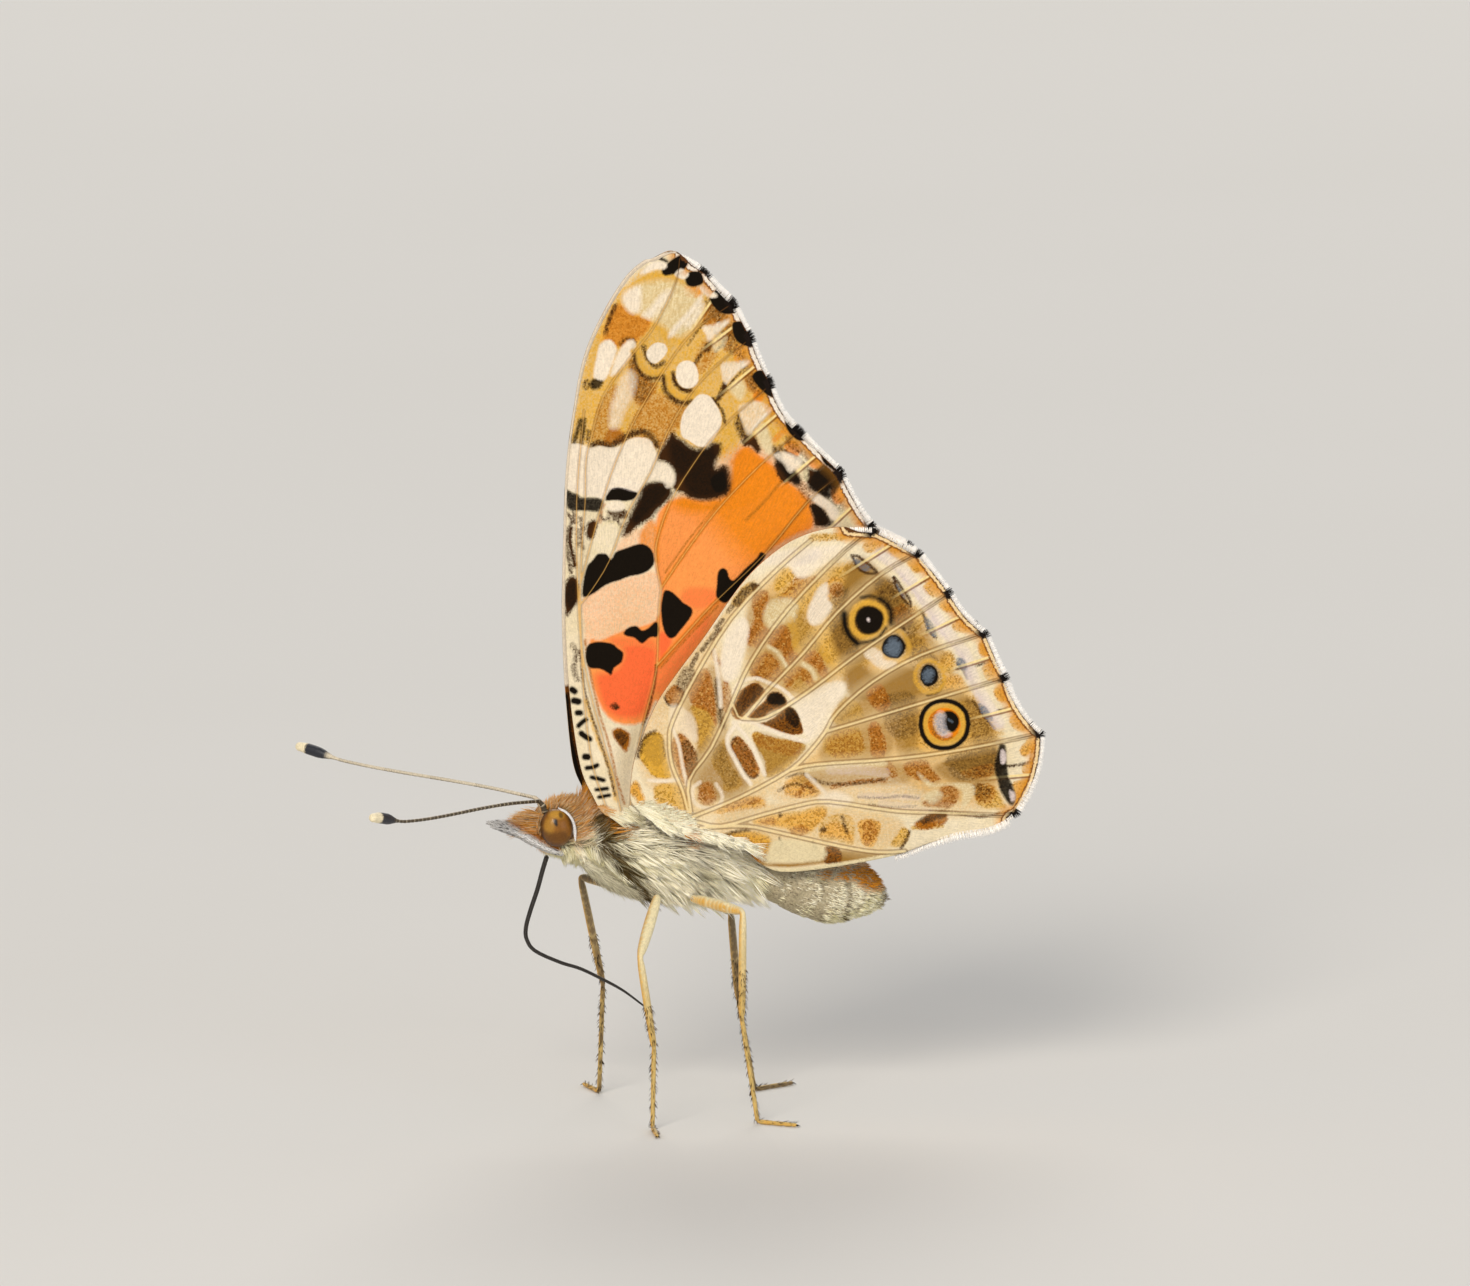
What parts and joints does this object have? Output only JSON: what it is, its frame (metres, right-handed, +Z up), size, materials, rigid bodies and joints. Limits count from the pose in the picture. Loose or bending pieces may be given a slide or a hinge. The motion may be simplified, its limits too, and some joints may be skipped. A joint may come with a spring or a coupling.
{
  "type": "painted lady butterfly",
  "caption": "Life-size butterfly standing with its patterned wings shut upright over its back, antennae spread forward and its long tongue half uncoiled.",
  "frame": {"origin": "middle of the bounding box's bottom face, on the floor that the feet stand on", "axes": "+Z up along the shut wings, -X towards the head, -Y towards the butterfly's left side"},
  "size_m": [0.0384, 0.0218, 0.0466],
  "materials": {
    "wing": "powdery scales in cream, ochre, orange, brown and black",
    "fur": "soft hair, cream to grey with orange brown",
    "abdomen": "short pale scales over rings",
    "eye": "glossy amber brown facets",
    "antenna": "ringed dark shaft with a pale tip to the club",
    "leg": "satin, cream and tan scales",
    "proboscis": "smooth black"
  },
  "bodies": {
    "root": {"abdomen": "abdomen", "antenna_left": "antenna", "antenna_right": "antenna", "eye_left": "eye", "eye_right": "eye", "foreleg_left": "fur", "foreleg_right": "fur", "forewing_left": "wing", "forewing_right": "wing", "head": "fur", "hindleg_left": "leg", "hindleg_right": "leg", "hindwing_left": "wing", "hindwing_right": "wing", "midleg_left": "leg", "midleg_right": "leg", "palp_left": "fur", "palp_right": "fur", "proboscis": "proboscis", "thorax": "fur"}
  },
  "joints": []
}
